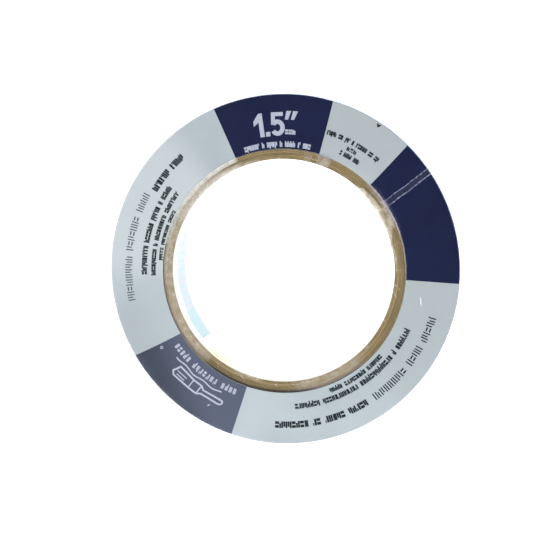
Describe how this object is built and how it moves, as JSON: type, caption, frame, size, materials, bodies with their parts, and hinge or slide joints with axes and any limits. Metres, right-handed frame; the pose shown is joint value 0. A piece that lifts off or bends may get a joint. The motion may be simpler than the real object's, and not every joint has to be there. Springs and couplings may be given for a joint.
{
  "type": "masking tape roll",
  "caption": "Roll of crepe masking tape wound on a paperboard core, with a printed paper ring on one side, all in clear shrink film.",
  "frame": {"origin": "centre of the underside, on the roll's axis, with the roll lying flat on its unlabelled side", "axes": "+Z along the roll's axis towards the labelled side; +Y is the top of the label's size numeral as it is read; +X to its right"},
  "size_m": [0.1202, 0.1202, 0.0387],
  "materials": {
    "liner_paper": "matte",
    "core_board": "matte",
    "kraft_paper": "matte",
    "crepe_tape": "matte",
    "printed_paper": "satin",
    "clear_film": "gloss"
  },
  "bodies": {
    "root": {"core_liner": "liner_paper", "core_board_ply_1": "core_board", "core_board_ply_2": "core_board", "core_board_ply_3": "core_board", "core_board_ply_4": "core_board", "core_board_ply_5": "core_board", "core_board_ply_6": "core_board", "core_cover_ply": "kraft_paper", "tape_winding": "crepe_tape", "tape_outer_turn": "crepe_tape", "side_label": "printed_paper", "shrink_film": "clear_film", "film_lap_seam": "clear_film"}
  },
  "joints": []
}
